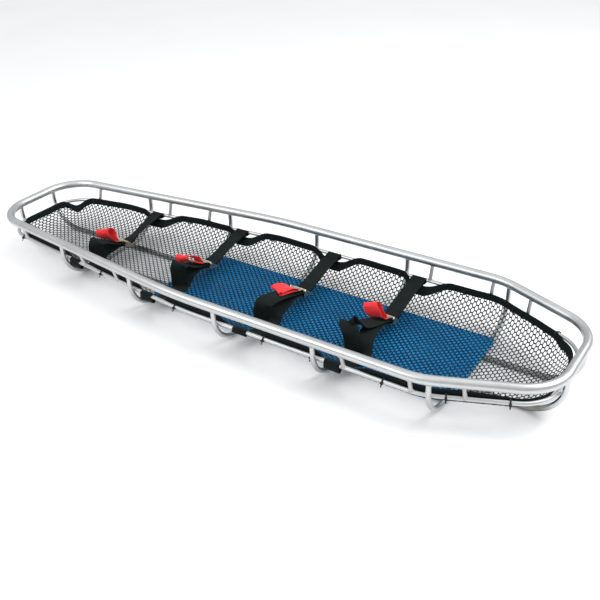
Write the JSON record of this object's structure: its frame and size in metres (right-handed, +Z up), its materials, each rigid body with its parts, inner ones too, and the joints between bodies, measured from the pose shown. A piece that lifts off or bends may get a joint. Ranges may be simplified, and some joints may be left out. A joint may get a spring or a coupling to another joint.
{
  "type": "basket rescue litter",
  "caption": "Tapered tube-frame basket rescue litter with a net basket, back panel, skids and buckled cross straps with lift-lever cam buckles.",
  "frame": {"origin": "centre of the bounding box at floor level, under the litter", "axes": "+X towards the head end, +Y towards the left side seen from the foot end, +Z up"},
  "size_m": [2.134, 0.613, 0.1668],
  "materials": {
    "satin_tube": "satin stainless tube with a fine drawn grain",
    "black_net": "knotless hexagonal nylon net",
    "black_tape": "folded binding tape, sewn",
    "black_webbing": "flat woven webbing, 50 mm",
    "red_webbing": "flat woven webbing",
    "blue_panel": "matt sheet with a fine grain",
    "plated_steel": "yellow-tan passivated plating",
    "pin_steel": "bright drawn wire and pin",
    "tie_plastic": "moulded nylon tie"
  },
  "bodies": {
    "frame": {"top_rail_right": "satin_tube", "top_rail_head": "satin_tube", "top_rail_left": "satin_tube", "top_rail_foot": "satin_tube", "rail_splice_sleeves": "satin_tube", "runner_left": "satin_tube", "runner_right": "satin_tube", "rib_1": "satin_tube", "rib_2": "satin_tube", "rib_3": "satin_tube", "rib_4": "satin_tube", "rib_5": "satin_tube", "net_rail_right": "satin_tube", "net_rail_head": "satin_tube", "net_rail_left": "satin_tube", "net_rail_foot": "satin_tube", "posts_left": "satin_tube", "posts_right": "satin_tube", "net_wall_right": "black_net", "net_binding_right": "black_tape", "net_wall_head": "black_net", "net_binding_head": "black_tape", "net_wall_left": "black_net", "net_binding_left": "black_tape", "net_wall_foot": "black_net", "net_binding_foot": "black_tape", "net_floor": "black_net", "back_panel": "blue_panel", "cable_ties_left": "tie_plastic", "cable_ties_right": "tie_plastic", "far_strap_1": "black_webbing", "near_strap_1": "black_webbing", "buckle_frame_1": "plated_steel", "far_strap_2": "black_webbing", "near_strap_2": "black_webbing", "buckle_frame_2": "plated_steel", "far_strap_3": "black_webbing", "near_strap_3": "black_webbing", "buckle_frame_3": "plated_steel", "far_strap_4": "black_webbing", "near_strap_4": "black_webbing", "buckle_frame_4": "plated_steel", "cam_pins": "pin_steel", "cam_springs": "pin_steel"},
    "cam_1": {"cam_lever_1": "plated_steel", "pull_loop_1": "red_webbing"},
    "cam_2": {"cam_lever_2": "plated_steel", "pull_loop_2": "red_webbing"},
    "cam_3": {"cam_lever_3": "plated_steel", "pull_loop_3": "red_webbing"},
    "cam_4": {"cam_lever_4": "plated_steel", "pull_loop_4": "red_webbing"}
  },
  "joints": [
    {"name": "cam_1_lift", "type": "hinge", "parent": "frame", "child": "cam_1", "pos_m": [-0.622, 0.00227, 0.07259], "axis": [-1, 0, 0], "range_deg": [0, 70], "stiffness_Nm_per_rad": 0.2, "springref_deg": -28.65},
    {"name": "cam_2_lift", "type": "hinge", "parent": "frame", "child": "cam_2", "pos_m": [-0.25, 0.03227, 0.07259], "axis": [-1, 0, 0], "range_deg": [0, 70], "stiffness_Nm_per_rad": 0.2, "springref_deg": -28.65},
    {"name": "cam_3_lift", "type": "hinge", "parent": "frame", "child": "cam_3", "pos_m": [0.135, 0.04227, 0.07259], "axis": [-1, 0, 0], "range_deg": [0, 70], "stiffness_Nm_per_rad": 0.2, "springref_deg": -28.65},
    {"name": "cam_4_lift", "type": "hinge", "parent": "frame", "child": "cam_4", "pos_m": [0.458, 0.04227, 0.07259], "axis": [-1, 0, 0], "range_deg": [0, 70], "stiffness_Nm_per_rad": 0.2, "springref_deg": -28.65}
  ]
}
